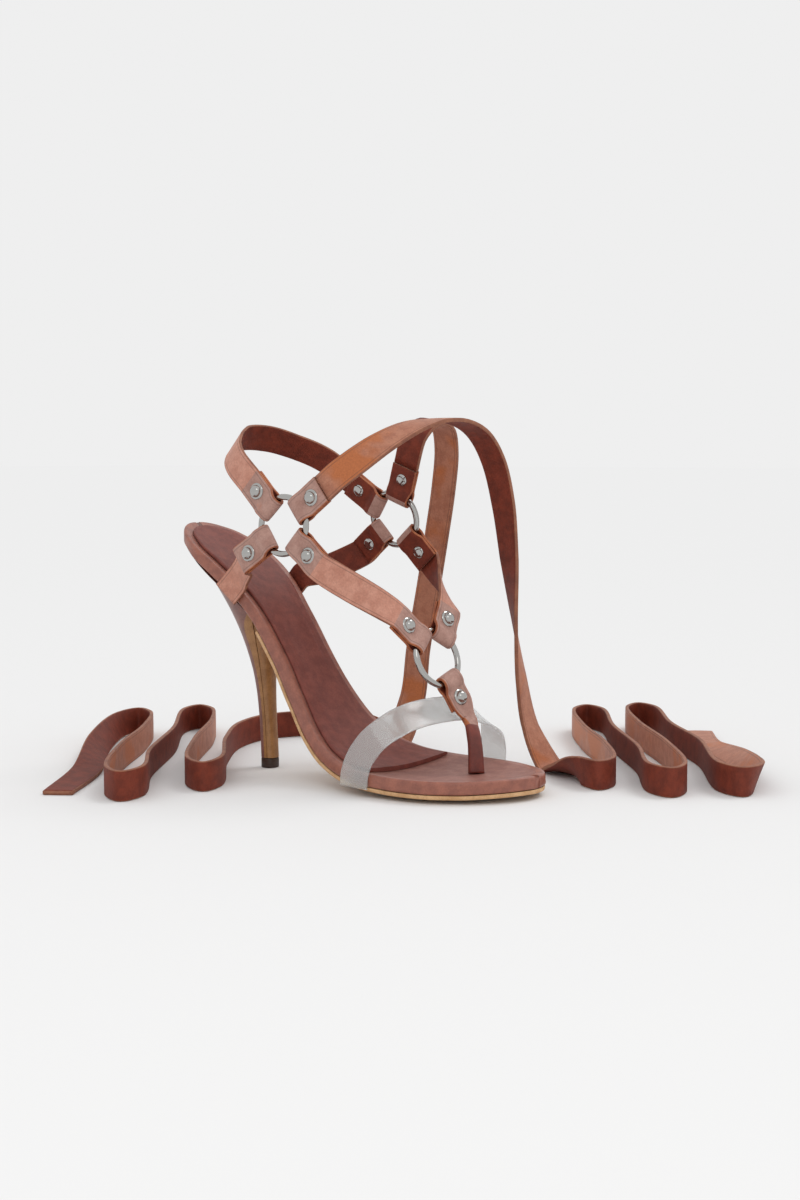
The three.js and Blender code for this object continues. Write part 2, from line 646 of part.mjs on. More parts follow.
// ---------- ties ----------
// each hangs over from its tab and lies on the floor in long loops, set at an angle to the shoe's own axis.
// across and along are measured in those turned directions; edge is 0 where the leather lies flat, 1 where it stands
const TURN = (38 * Math.PI) / 180;
const TIES = {
  tie_lateral: {
    from: 'tie_l',
    air: [
      { at: [-28, 131, 158.6], w: [0, -0.75, 0.65] },
      { at: [-18, 138.6, 167], w: [0, -0.9, 0.4] },
      { at: [-4, 144.4, 174], w: [0, -1, 0.2] },
      { at: [11, 148, 177.4], w: [0, -1, 0] },
      { at: [27, 150, 177.4], w: [0, -1, 0] },
      { at: [43, 151.2, 171.6], w: [0, -1, 0] },
      { at: [56, 151.6, 158], w: [0, -1, 0] },
      { at: [64.6, 152, 136], w: [0.1, -1, 0] },
      { at: [69, 152.8, 108], w: [0.35, -0.9, 0] },
      { at: [71.6, 154.4, 78], w: [0.75, -0.65, 0] },
      { at: [73, 157.6, 48], w: [0.96, -0.3, 0] },
      { at: [74, 163, 22], w: [1, -0.05, 0] },
    ],
    floor: [
      { across: 90, along: 24, edge: 0 },
      { across: 95, along: 6, edge: 0.3 },
      { across: 100, along: -16, edge: 0.9 },
      { across: 107, along: -28, edge: 1 },
      { across: 115, along: -18, edge: 1 },
      { across: 118, along: 30, edge: 1 },
      { across: 114, along: 96, edge: 1 },
      { across: 117, along: 160, edge: 1 },
      { across: 125, along: 172, edge: 1 },
      { across: 132, along: 160, edge: 1 },
      { across: 130, along: 90, edge: 1 },
      { across: 133, along: 20, edge: 1 },
      { across: 131, along: -36, edge: 1 },
      { across: 139, along: -48, edge: 1 },
      { across: 147, along: -36, edge: 1 },
      { across: 150, along: 34, edge: 1 },
      { across: 146, along: 108, edge: 1 },
      { across: 149, along: 168, edge: 1 },
      { across: 157, along: 180, edge: 1 },
      { across: 164, along: 168, edge: 1 },
      { across: 163, along: 100, edge: 1 },
      { across: 168, along: 40, edge: 1 },
      { across: 165, along: -34, edge: 1 },
      { across: 173, along: -47, edge: 1 },
      { across: 182, along: -34, edge: 0.8 },
      { across: 186, along: 30, edge: 0.4 },
      { across: 183, along: 96, edge: 0.1 },
      { across: 188, along: 150, edge: 0 },
    ],
  },
  tie_medial: {
    from: 'tie_m',
    air: [
      { at: [31.4, 120.6, 170.6], w: [0, -0.95, 0.3] },
      { at: [36.4, 122.6, 176], w: [0, -1, 0.2] },
      { at: [45, 123, 178], w: [0, -1, 0.14] },
      { at: [54.4, 121.8, 174.4], w: [0, -1, 0.14] },
      { at: [62, 118.4, 163], w: [0, -0.98, 0.18] },
      { at: [67, 113, 144], w: [0, -0.98, 0.2] },
      { at: [70.4, 106, 118], w: [0, -0.98, 0.2] },
      { at: [72.6, 98.6, 88], w: [0, -0.98, 0.2] },
      { at: [74.8, 91, 58], w: [-0.04, -0.98, 0.2] },
      { at: [78.4, 84.4, 30], w: [-0.15, -0.98, 0.14] },
    ],
    floor: [
      { across: 10, along: 96, edge: 0 },
      { across: 5, along: 118, edge: 0.3 },
      { across: -10, along: 140, edge: 1 },
      { across: -36, along: 148, edge: 1 },
      { across: -60, along: 136, edge: 1 },
      { across: -74, along: 106, edge: 1 },
      { across: -78, along: 50, edge: 1 },
      { across: -76, along: -14, edge: 1 },
      { across: -83, along: -28, edge: 1 },
      { across: -91, along: -15, edge: 1 },
      { across: -94, along: 50, edge: 1 },
      { across: -91, along: 120, edge: 1 },
      { across: -95, along: 164, edge: 1 },
      { across: -103, along: 176, edge: 1 },
      { across: -110, along: 163, edge: 1 },
      { across: -109, along: 86, edge: 1 },
      { across: -113, along: 12, edge: 1 },
      { across: -111, along: -40, edge: 1 },
      { across: -119, along: -53, edge: 1 },
      { across: -127, along: -40, edge: 1 },
      { across: -130, along: 30, edge: 1 },
      { across: -126, along: 96, edge: 1 },
      { across: -129, along: 150, edge: 1 },
      { across: -137, along: 162, edge: 0.9 },
      { across: -145, along: 148, edge: 0.8 },
      { across: -149, along: 90, edge: 0.5 },
      { across: -146, along: 20, edge: 0.1 },
      { across: -151, along: -36, edge: 0 },
    ],
  },
};

for (const [name, tie] of Object.entries(TIES)) {
  const f = foldFrame(tie.from);
  const rows = tie.air.map((q) => ({ p: at(...q.at), w: dir(...q.w) }));
  if (f.w.dot(rows[0].w) < 0) f.w.negate();
  const exit = f.stud + TAB_END + GAP;
  rows.unshift({ p: f.point(exit, 0), w: f.w }, { p: f.point(exit + 4, 0), w: f.w }, { p: f.point(exit + 9, 0), w: f.w });
  const lie = tie.floor.map((q) => at(
    q.across * Math.sin(TURN) + q.along * Math.cos(TURN),
    120 + q.across * Math.cos(TURN) - q.along * Math.sin(TURN),
    0,
  ));
  tie.floor.forEach((q, i) => {
    const a = lie[Math.max(0, i - 1)];
    const b = lie[Math.min(lie.length - 1, i + 1)];
    const t = b.clone().sub(a).setZ(0).normalize();
    const tilt = (q.edge * Math.PI) / 2;
    const p = lie[i].clone();
    p.z = (TIE_WIDTH / 2) * Math.sin(tilt) + (TIE_THICK / 2) * Math.cos(tilt) + 0.2;
    const w = new THREE.Vector3(-t.y, t.x, 0).multiplyScalar(-Math.cos(tilt));
    w.z = Math.sin(tilt);
    rows.push({ p, w });
  });
  const curve = new THREE.CatmullRomCurve3(rows.map((q) => q.p), false, 'centripetal');
  const stations = [];
  for (let k = 0; k < rows.length - 1; k++) {
    const a = rows[Math.max(0, k - 1)].p;
    const [b, c] = [rows[k].p, rows[k + 1].p];
    const d = rows[Math.min(rows.length - 1, k + 2)].p;
    const bend = b.clone().sub(a).angleTo(c.clone().sub(b)) + c.clone().sub(b).angleTo(d.clone().sub(c));
    const n = bend > 1.6 ? 3 : b.distanceTo(c) > 34 ? 2 : bend > 0.7 ? 2 : 1;
    for (let j = 0; j < n; j++) {
      const w = rows[k].w.clone().lerp(rows[k + 1].w, j / n).normalize();
      stations.push({ p: curve.getPoint((k + j / n) / (rows.length - 1)), w, width: TIE_WIDTH });
    }
  }
  const end = rows[rows.length - 1];
  stations.push({ p: end.p, w: end.w, width: TIE_WIDTH });
  stations.forEach((q, i) => {
    if (i > 0 && q.w.dot(stations[i - 1].w) < 0) q.w = q.w.clone().negate();
  });
  const g = ribbon(stations, TIE_THICK);
  const pos = g.getAttribute('position');
  for (let i = 0; i < pos.count; i++) pos.setZ(i, Math.max(pos.getZ(i), 0.1));
  add(name, g, MAT.tie());
}

export default shoe;
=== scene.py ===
"""Looks of a right gladiator sandal: fine surfaces, materials, floor, light and camera round its CAD frame."""

import math

import bpy
import numpy as np
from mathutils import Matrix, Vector


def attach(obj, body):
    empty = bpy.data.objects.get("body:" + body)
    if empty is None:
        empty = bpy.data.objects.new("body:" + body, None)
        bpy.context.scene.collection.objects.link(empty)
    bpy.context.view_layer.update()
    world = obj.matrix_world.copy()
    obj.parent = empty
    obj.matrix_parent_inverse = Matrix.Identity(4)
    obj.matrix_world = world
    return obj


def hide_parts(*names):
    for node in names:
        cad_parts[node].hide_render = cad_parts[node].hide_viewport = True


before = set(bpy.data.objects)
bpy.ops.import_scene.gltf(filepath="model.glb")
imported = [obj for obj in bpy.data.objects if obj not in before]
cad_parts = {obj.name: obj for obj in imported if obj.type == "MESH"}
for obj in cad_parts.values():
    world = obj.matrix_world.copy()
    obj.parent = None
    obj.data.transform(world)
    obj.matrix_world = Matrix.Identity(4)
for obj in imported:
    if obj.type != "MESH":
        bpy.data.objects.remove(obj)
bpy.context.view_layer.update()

# ---------- sizes, in millimetres; s is the distance forward from the back of the seat ----------
LENGTH = 211
BACK_Y = 105.5
RIM_THICK = 6.3
OUTSOLE_THICK = 2.0
GAP = 0.3
SOCK_INSET = 5.0
SOCK_FRONT = 141
SOCK_THICK = 1.7
STRAP = 14.5
STRAP_AT_RING = 12.8
LEATHER = 1.5
RING_R = 13.75
WIRE_R = 1.5
TIE_WIDTH = 14.5
TIE_THICK = 2.0
TAB_END = 7

LAST = """
s    z      cup  half  mid
0    127    0.4  0     0
4    124.7  1.2  13.0  0
12   120.6  2.2  20.8  0
26   112.6  3.0  25.6  0
38   104.8  3.0  25.4  -0.2
51   94.6   2.6  23.2  -0.5
64   80.2   2.2  20.8  -1.0
77   62.0   1.8  20.4  -1.6
90   43.0   1.6  22.4  -2.2
103  27.2   1.8  26.4  -2.4
115  18.4   2.6  30.6  -2.0
129  13.6   3.3  34.8  -1.2
146  11.6   3.5  38.2  -0.3
160  11.1   3.2  39.2  0.4
174  10.9   2.8  37.6  1.2
188  10.9   2.2  31.8  2.6
200  11.3   1.2  22.4  4.2
207  11.7   0.6  13.6  5.4
211  12.0   0.3  0     6.2
"""
HEEL = """
z    back  front  half
5.3  46.3  55.2   4.4
20   45.7  54.3   4.4
35   44.4  53.5   4.8
48   42.1  53.2   5.7
60   38.2  53.9   7.4
70   34.0  55.3   9.5
80   28.7  57.6   12.2
91   21.9  60.2   16.2
102  14.2  61.6   20.6
112  7.0   62.0   24.0
119  2.2   62.0   25.0
127  1.4   62.0   25.2
"""
RINGS = {
    "lateral": {"at": (-37, 92.5, 127), "ahead": (0.03, 1, 0), "up": (0.07, 0, 1), "out": (-1, 0, 0)},
    "medial": {"at": (38, 103, 128.5), "ahead": (0, 1, 0), "up": (-0.18, 0, 1), "out": (1, 0, 0)},
    "instep": {"at": (4, 154.5, 63.3), "ahead": (0.95, 0.2, -0.2), "up": (0, -0.33, 0.94),
               "out": (0, 0.89, 0.45)},
}
FOLDS = {  # ring, angle in its plane, distance of the stud
    "ankle_l": ("lateral", 135, 23),
    "tie_l": ("lateral", 38, 22),
    "heel_l": ("lateral", 215, 24.5),
    "vamp_l": ("lateral", 320, 22),
    "ankle_m": ("medial", 144, 25),
    "tie_m": ("medial", 68, 22),
    "heel_m": ("medial", 218, 22),
    "vamp_m": ("medial", 310, 22),
    "vamp_l2": ("instep", 145, 23),
    "vamp_m2": ("instep", 69, 22),
    "toe": ("instep", 302, 22),
}


def table(text):
    rows = [line.split() for line in text.strip().splitlines()]
    return {k: np.array([float(r[i]) for r in rows[1:]]) for i, k in enumerate(rows[0])}


def at(x, s, z):
    return np.array([x, BACK_Y - s, z], float)


def unit(v):
    v = np.asarray(v, float)
    return v / (np.linalg.norm(v) + 1e-12)


def heading(x, s, z):
    return unit([x, -s, z])


def smooth(t):
    t = min(1.0, max(0.0, t))
    return t * t * (3 - 2 * t)


def curve_of(x, y):
    """Smooth monotone curve through the rows of a table."""
    n = len(x)
    d = np.diff(y) / np.diff(x)
    m = [d[0]]
    for i in range(1, n - 1):
        if d[i - 1] * d[i] <= 0:
            m.append(0.0)
        else:
            h0, h1 = x[i] - x[i - 1], x[i + 1] - x[i]
            w1, w2 = 2 * h1 + h0, h1 + 2 * h0
            m.append((w1 + w2) / (w1 / d[i - 1] + w2 / d[i]))
    m.append(d[-1])

    def f(v):
        q = min(max(v, x[0]), x[-1])
        i = min(int(np.searchsorted(x, q, side="right")) - 1, n - 2)
        h = x[i + 1] - x[i]
        t = (q - x[i]) / h
        return ((1 + 2 * t) * (1 - t) ** 2 * y[i] + t * (1 - t) ** 2 * h * m[i]
                + t * t * (3 - 2 * t) * y[i + 1] + t * t * (t - 1) * h * m[i + 1])

    return f


last = table(LAST)
edge_z = curve_of(last["s"], last["z"])
cup_of = curve_of(last["s"], last["cup"])
half_sq = curve_of(last["s"], last["half"] ** 2)
mid_of = curve_of(last["s"], last["mid"])
heel_table = table(HEEL)
heel_back = curve_of(heel_table["z"], heel_table["back"])
heel_front = curve_of(heel_table["z"], heel_table["front"])
heel_half = curve_of(heel_table["z"], heel_table["half"])


def half_of(s):
    return math.sqrt(max(0.0, half_sq(s)))


def normal_at(s):
    a = math.atan(-(edge_z(s + 1) - edge_z(s - 1)) / 2) * smooth((s - 8) / 34)
    return math.sin(a), math.cos(a)


def bed(x, s, n):
    """A point at distance n over the foot bed's edge surface."""
    h = max(half_of(min(max(s, 0.5), LENGTH - 0.5)), 2)
    u = min(1.0, max(-1.0, (x - mid_of(s)) / h))
    m = n - cup_of(s) * (1 - u * u)
    ns, nz = normal_at(s)
    return at(x, s + m * ns, edge_z(s) + m * nz)


# ---------- meshes ----------
def piece(name, verts, faces, materials, face_mats=None, uv=None, sharp=None):
    """One shown object, from millimetres to metres."""
    mesh = bpy.data.meshes.new(name)
    mesh.from_pydata([tuple(float(c) / 1000 for c in v) for v in verts], [], faces)
    for m in materials:
        mesh.materials.append(m)
    if face_mats is not None:
        mesh.polygons.foreach_set("material_index", face_mats)
    mesh.polygons.foreach_set("use_smooth", [True] * len(mesh.polygons))
    if uv is not None:
        layer = mesh.uv_layers.new(name="UVMap")
        loops = np.empty(len(mesh.loops), dtype=np.int32)
        mesh.loops.foreach_get("vertex_index", loops)
        layer.data.foreach_set("uv", np.asarray(uv, float)[loops].ravel())
    mesh.validate()
    mesh.update()
    if sharp is not None:
        mesh.set_sharp_from_angle(angle=math.radians(sharp))
    obj = bpy.data.objects.new(name, mesh)
    bpy.context.collection.objects.link(obj)
    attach(obj, "root")
    return obj


def skin(rings):
    """Vertices and faces of a closed skin through rings of points, with flat ends."""
    n = len(rings[0])
    verts = [p for ring in rings for p in ring]
    faces = []
    for i in range(len(rings) - 1):
        for j in range(n):
            a, b = i * n + j, i * n + (j + 1) % n
            faces.append((a, b, b + n, a + n))
    faces.append(tuple(reversed(range(n))))
    faces.append(tuple((len(rings) - 1) * n + k for k in range(n)))
    v = np.array(verts)
    vol = 0.0
    for f in faces:
        for k in range(1, len(f) - 1):
            vol += np.dot(v[f[0]], np.cross(v[f[k]], v[f[k + 1]]))
    if vol < 0:
        faces = [tuple(reversed(f)) for f in faces]
    return verts, faces


def catmull(points, counts):
    """Centripetal Catmull-Rom curve, counts[k] steps from point k to k+1: its points and where they are."""
    p = [np.asarray(q, float) for q in points]
    p = [2 * p[0] - p[1]] + p + [2 * p[-1] - p[-2]]
    out, where = [], []
    for k in range(len(points) - 1):
        a, b, c, d = p[k:k + 4]
        t0 = 0.0
        t1 = t0 + max(np.linalg.norm(b - a), 1e-4) ** 0.5
        t2 = t1 + max(np.linalg.norm(c - b), 1e-4) ** 0.5
        t3 = t2 + max(np.linalg.norm(d - c), 1e-4) ** 0.5
        for j in range(counts[k]):
            f = j / counts[k]
            t = t1 + (t2 - t1) * f
            a1 = (t1 - t) / (t1 - t0) * a + (t - t0) / (t1 - t0) * b
            a2 = (t2 - t) / (t2 - t1) * b + (t - t1) / (t2 - t1) * c
            a3 = (t3 - t) / (t3 - t2) * c + (t - t2) / (t3 - t2) * d
            b1 = (t2 - t) / (t2 - t0) * a1 + (t - t0) / (t2 - t0) * a2
            b2 = (t3 - t) / (t3 - t1) * a2 + (t - t1) / (t3 - t1) * a3
            out.append((t2 - t) / (t2 - t1) * b1 + (t - t1) / (t2 - t1) * b2)
            where.append(k + f)
    out.append(np.asarray(points[-1], float))
    where.append(len(points) - 1.0)
    return out, where


# ---------- materials ----------
def material(name, color, rough, metal=0.0, extra=None):
    m = bpy.data.materials.new(name)
    m.use_nodes = True
    b = m.node_tree.nodes["Principled BSDF"]
    b.inputs["Base Color"].default_value = (*color, 1)
    b.inputs["Roughness"].default_value = rough
    b.inputs["Metallic"].default_value = metal
    for k, v in (extra or {}).items():
        b.inputs[k].default_value = v
    return m


def leather(name, a, b, rough, patch=None, patch_scale=60, amount=0.5, grain=900, bump=0.25, extra=None,
            stitched=None):
    """Leather with two mottled colours, an optional worn patch colour, and a fine grain."""
    m = material(name, a, rough, extra=extra)
    nt = m.node_tree
    n, link = nt.nodes, nt.links
    shader = n["Principled BSDF"]
    place = n.new("ShaderNodeTexCoord")

    def noise(scale, detail, seed):
        node = n.new("ShaderNodeTexNoise")
        node.noise_dimensions = "4D"
        node.inputs["W"].default_value = seed
        node.inputs["Scale"].default_value = scale
        node.inputs["Detail"].default_value = detail
        node.inputs["Roughness"].default_value = 0.6
        link.new(place.outputs["Object"], node.inputs["Vector"])
        return node.outputs["Fac"]

    def ramp(fac, lo, hi):
        node = n.new("ShaderNodeMapRange")
        node.interpolation_type = "SMOOTHSTEP"
        node.inputs["From Min"].default_value = lo
        node.inputs["From Max"].default_value = hi
        link.new(fac, node.inputs["Value"])
        return node.outputs["Result"]

    def blend(fac, one, two):
        node = n.new("ShaderNodeMix")
        node.data_type = "RGBA"
        for value, key in ((one, 6), (two, 7)):
            if isinstance(value, tuple):
                node.inputs[key].default_value = (*value, 1)
            else:
                link.new(value, node.inputs[key])
        link.new(fac, node.inputs[0])
        return node.outputs[2]

    color = blend(ramp(noise(190, 5, 1.7), 0.34, 0.66), a, b)
    if patch:
        color = blend(ramp(noise(patch_scale, 3, 4.2), 1 - amount - 0.06, 1 - amount + 0.06), color, patch)
    fine = noise(grain, 3, 8.1)
    dark = n.new("ShaderNodeMix")
    dark.data_type = "RGBA"
    dark.blend_type = "MULTIPLY"
    dark.inputs[0].default_value = 0.35
    link.new(color, dark.inputs[6])
    shade = n.new("ShaderNodeMapRange")
    shade.inputs["From Min"].default_value = 0.3
    shade.inputs["From Max"].default_value = 0.7
    shade.inputs["To Min"].default_value = 0.55
    shade.inputs["To Max"].default_value = 1.25
    link.new(fine, shade.inputs["Value"])
    link.new(shade.outputs["Result"], dark.inputs[7])
    color = dark.outputs[2]
    height = fine
    if stitched:
        uv = n.new("ShaderNodeSeparateXYZ")
        link.new(place.outputs["UV"], uv.inputs[0])

        def calc(op, x, y):
            node = n.new("ShaderNodeMath")
            node.operation = op
            for i, value in enumerate((x, y)):
                if isinstance(value, (int, float)):
                    node.inputs[i].default_value = value
                else:
                    link.new(value, node.inputs[i])
            return node.outputs[0]

        from_edge = calc("SUBTRACT", 0.5, calc("ABSOLUTE", calc("SUBTRACT", uv.outputs["X"], 0.5), 0))
        near = calc("LESS_THAN", calc("ABSOLUTE", calc("SUBTRACT", from_edge, stitched), 0), 0.016)
        color = blend(calc("MULTIPLY", near, 0.55), color, tuple(c * 0.35 for c in a))
        height = calc("SUBTRACT", fine, calc("MULTIPLY", near, 1.2))
    link.new(color, shader.inputs["Base Color"])
    node = n.new("ShaderNodeBump")
    node.inputs["Strength"].default_value = bump
    node.inputs["Distance"].default_value = 0.0004
    link.new(height, node.inputs["Height"])
    link.new(node.outputs["Normal"], shader.inputs["Normal"])
    return m


SOFT = {"Sheen Weight": 0.06, "Sheen Roughness": 0.5, "Specular IOR Level": 0.3}
DULL = {"Specular IOR Level": 0.25}
ROSE = leather("rose_leather", (0.60, 0.29, 0.21), (0.49, 0.215, 0.15), 0.6, (0.61, 0.245, 0.135), 55, 0.34,
               1100, 0.3, SOFT, 0.09)
MAUVE = leather("mauve_leather", (0.47, 0.275, 0.225), (0.38, 0.205, 0.165), 0.6, (0.48, 0.225, 0.16), 90, 0.30,
                1100, 0.3, SOFT, 0.09)
BACK = leather("red_back", (0.205, 0.036, 0.017), (0.135, 0.024, 0.012), 0.62, None, 60, 0.5, 1400, 0.35, DULL)
EDGE = leather("cut_edge", (0.34, 0.14, 0.08), (0.24, 0.095, 0.06), 0.6, None, 60, 0.5, 1400, 0.3, DULL)
FOLD_EDGE = leather("orange_edge", (0.46, 0.15, 0.06), (0.30, 0.09, 0.045), 0.6, None, 60, 0.5, 1400, 0.3, DULL)
TIE = leather("tie_leather", (0.48, 0.205, 0.125), (0.38, 0.145, 0.085), 0.6, (0.47, 0.145, 0.05), 30, 0.44,
              1100, 0.3, SOFT, 0.08)
WRAP = leather("wrapped_rim", (0.355, 0.122, 0.078), (0.255, 0.086, 0.058), 0.42, (0.43, 0.155, 0.094), 70, 0.3,
               1300, 0.18, {"Coat Weight": 0.10, "Coat Roughness": 0.3})
HEEL_SKIN = leather("heel_cover", (0.275, 0.125, 0.100), (0.195, 0.085, 0.070), 0.40, None, 70, 0.3, 1300, 0.15,
                    {"Coat Weight": 0.15, "Coat Roughness": 0.28})
FRONT = leather("front_insole", (0.35, 0.163, 0.128), (0.275, 0.118, 0.095), 0.55, (0.39, 0.18, 0.134), 80,
                0.35, 1300, 0.22, DULL)
SOCK = leather("padded_sock", (0.240, 0.066, 0.048), (0.175, 0.046, 0.035), 0.5, (0.28, 0.08, 0.056), 60, 0.3,
               1300, 0.25, DULL)
BREAST = leather("breast", (0.42, 0.21, 0.08), (0.30, 0.14, 0.052), 0.42, None, 70, 0.3, 1300, 0.15)
SOLE = leather("outsole", (0.62, 0.40, 0.23), (0.54, 0.33, 0.18), 0.5, None, 40, 0.3, 1500, 0.15)
SOLE_EDGE = leather("outsole_edge", (0.72, 0.45, 0.23), (0.56, 0.31, 0.14), 0.5, None, 90, 0.3, 1500, 0.15)
TIP = material("heel_tip", (0.045, 0.022, 0.014), 0.45)
POST = leather("post_leather", (0.20, 0.034, 0.020), (0.125, 0.022, 0.014), 0.42, None, 60, 0.5, 1400, 0.3)
NICKEL = material("nickel", (0.43, 0.425, 0.41), 0.1, 1.0)
CLEAR = material("clear_vinyl", (0.74, 0.755, 0.745), 0.16, 0.0,
                 {"Transmission Weight": 0.6, "IOR": 1.38, "Alpha": 0.72})


# ---------- sole ----------
class Outline:
    """The last's outline moved inward by some millimetres, as two sides x(s)."""

    def __init__(self, inset):
        n = 400
        self.start, self.end = inset, LENGTH - inset
        self.sides = []
        for sign in (-1, 1):
            pts = []
            for i in range(n + 1):
                s = LENGTH / 2 * (1 - math.cos(math.pi * i / n))
                e = min(0.05, s * 0.5 + 1e-4, (LENGTH - s) * 0.5 + 1e-4)
                s0, s1 = max(0, s - e), min(LENGTH, s + e)
                f0, f1 = mid_of(s0) + sign * half_of(s0), mid_of(s1) + sign * half_of(s1)
                t = np.array([s1 - s0, f1 - f0])
                t /= np.linalg.norm(t)
                q = (s + sign * t[1] * inset, mid_of(s) + sign * half_of(s) - sign * t[0] * inset)
                if inset - 1e-6 <= q[0] <= LENGTH - inset + 1e-6 and (not pts or q[0] > pts[-1][0]):
                    pts.append(q)
            self.sides.append(np.array(pts).T)

    def row(self, s):
        (a, b), (c, d) = self.sides
        return float(np.interp(s, a, b)), float(np.interp(s, c, d))


def spread(i, n):
    return 0.5 * (1 - math.cos(math.pi * i / n)) * 0.86 + i / n * 0.14


def layer(edge, steps, top_n, bottom_n, start=None, end=None, across=14, floor=False, dome=None, under=0.4):
    """Rows across a layer of the sole.

    edge lists (inset, n, material) from low on the side up to the top face."""
    sets = [(Outline(i), n) for i, n, _ in edge]
    below = Outline(under)
    rings = []
    for k in range(steps + 1):
        g = spread(k, steps)

        def place(o):
            a = o.start + 0.06 if start is None else start
            b = o.end - 0.06 if end is None else end
            s = a + (b - a) * g
            return s, *o.row(s)

        pts = []

        def add(x, s, n):
            p = bed(x, s, n)
            if floor:
                p[2] = max(0.0, p[2])
            pts.append(p)

        rows = [place(o) for o, _ in sets]
        for (s, lat, _), (_, n) in zip(rows, sets):
            add(lat, s, n)
        s, lat, med = rows[-1]
        for j in range(1, across):
            u = j / across
            add(lat + (med - lat) * u, s, top_n + (dome(u) if dome else 0))
        for (s, _, med), (_, n) in reversed(list(zip(rows, sets))):
            add(med, s, n)
        s, lat, med = place(below)
        for j in range(across, -1, -1):
            add(lat + (med - lat) * j / across, s, bottom_n)
        rings.append(pts)
    sides = [m for _, _, m in edge[1:]]
    kinds = sides + [None] * across + sides[::-1] + [-1] * (across + 2)
    return rings, kinds


def sole_piece(name, edge, steps, top_n, bottom_n, materials, top_mat, under_mat, **more):
    rings, kinds = layer(edge, steps, top_n, bottom_n, **more)
    verts, faces = skin(rings)
    n = len(rings[0])
    mats = []
    for _ in range(len(rings) - 1):
        for j in range(n):
            k = kinds[j] if j < len(kinds) else -1
            mats.append(top_mat if k is None else under_mat if k == -1 else k)
    mats += [kinds[0] if kinds[0] is not None and kinds[0] >= 0 else 0] * 2
    return piece(name, verts, faces, materials, mats, sharp=50)


rim_edge = [(0.5, -RIM_THICK + 0.05, 0), (0.0, -RIM_THICK + 0.5, 0), (0.0, -5.0, 0), (0.0, -3.4, 0),
            (0.0, -1.9, 0), (0.1, -1.3, 0),
            (0.35, -0.75, 0), (0.8, -0.3, 0), (1.35, -0.08, 0), (2.0, 0.0, 0), (4.4, 0.0, 0)]
platform = sole_piece("platform_skin", rim_edge, 150, 0.0, -RIM_THICK, [WRAP, FRONT], 1, 0, under=0.9)
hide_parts("platform")


def padding(u):
    """The sock's gentle cushion, with a pressed line near its edge."""
    e = min(u, 1 - u)
    puff = 0.5 * smooth(e / 0.16)
    return puff - 0.22 * math.exp(-((e - 0.13) / 0.022) ** 2)


sock_edge = [(SOCK_INSET + 0.1, GAP, 0), (SOCK_INSET, GAP + 0.35, 0), (SOCK_INSET + 0.05, GAP + 0.8, 0),
             (SOCK_INSET + 0.25, GAP + 1.15, 0),
             (SOCK_INSET + 0.6, GAP + 1.42, 0), (SOCK_INSET + 1.1, GAP + 1.58, 0),
             (SOCK_INSET + 1.7, GAP + SOCK_THICK, 0)]
sock = sole_piece("sock_skin", sock_edge, 130, GAP + SOCK_THICK, GAP, [SOCK], 0, 0, end=SOCK_FRONT, across=34,
                  dome=padding, under=SOCK_INSET + 0.3)
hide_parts("sock")

top2 = -RIM_THICK - GAP
sole_edge = [(0.9, top2 - OUTSOLE_THICK, 1), (0.6, top2 - 1.6, 1), (0.5, top2 - 1.0, 1), (0.5, top2 - 0.1, 1),
             (0.7, top2, 1)]
outsole = sole_piece("outsole_skin", sole_edge, 110, top2, top2 - OUTSOLE_THICK, [SOLE, SOLE_EDGE], 0, 0,
                     start=66.5, floor=True, under=1.2)
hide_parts("outsole")


# ---------- straps ----------
def ring_frame(name):
    r = RINGS[name]
    e1 = heading(*r["ahead"])
    e2 = heading(*r["up"])
    e2 = unit(e2 - e1 * np.dot(e1, e2))
    out = np.cross(e1, e2)
    if np.dot(out, heading(*r["out"])) < 0:
        out = -out
    return at(*r["at"]), e1, e2, out


class Fold:
    def __init__(self, key):
        ring, angle, self.stud = FOLDS[key]
        self.c, e1, e2, self.out = ring_frame(ring)
        a = math.radians(angle)
        self.d = e1 * math.cos(a) + e2 * math.sin(a)
        self.w = np.cross(self.out, self.d)

    def point(self, dist, n):
        return self.c + self.d * dist + self.out * n


def fold(key, inner=TAB_END, outer=TAB_END):
    f = Fold(key)
    flat = LEATHER / 2 + 0.2
    high = WIRE_R + LEATHER / 2 + 0.4
    rows = [(f.stud + inner, -flat), (f.stud, -flat), (18, -flat), (16.9, -1.3), (15.6, -2.1), (14, -high)]
    rows += [(12.2 - 3 * math.sin(math.pi * k / 6), -high * math.cos(math.pi * k / 6)) for k in range(7)]
    rows += [(14, high), (15.6, 2.1), (16.9, 1.3), (18, flat), (f.stud, flat), (f.stud + outer, flat)]
    out = []
    for dist, n in rows:
        k = min(1, max(0, (dist - 12.5) / 5))
        kind = 6 if n < 0 and dist > 13.5 else 1
        out.append({"p": f.point(dist, n), "w": f.w, "width": STRAP_AT_RING + (STRAP - STRAP_AT_RING) * k,
                    "kind": kind,
                    "thick": LEATHER, "in": -f.d if abs(n) < 0.2 else None})
    return out


def run_of(stations, step=2.2):
    """A fine smooth run through stations."""
    counts = [max(1, int(np.linalg.norm(b["p"] - a["p"]) / step + 0.5)) for a, b in zip(stations, stations[1:])]
    pts, where = catmull([q["p"] for q in stations], counts)
    out = []
    for p, t in zip(pts, where):
        k = min(int(t), len(stations) - 2)
        f = t - k
        a, b = stations[k], stations[k + 1]
        out.append({"p": p, "w": unit(a["w"] * (1 - f) + b["w"] * f),
                    "width": a["width"] * (1 - f) + b["width"] * f,
                    "thick": a["thick"] * (1 - f) + b["thick"] * f, "kind": a["kind"],
                    "in": a["in"] if f < 0.5 else b["in"]})
    return out


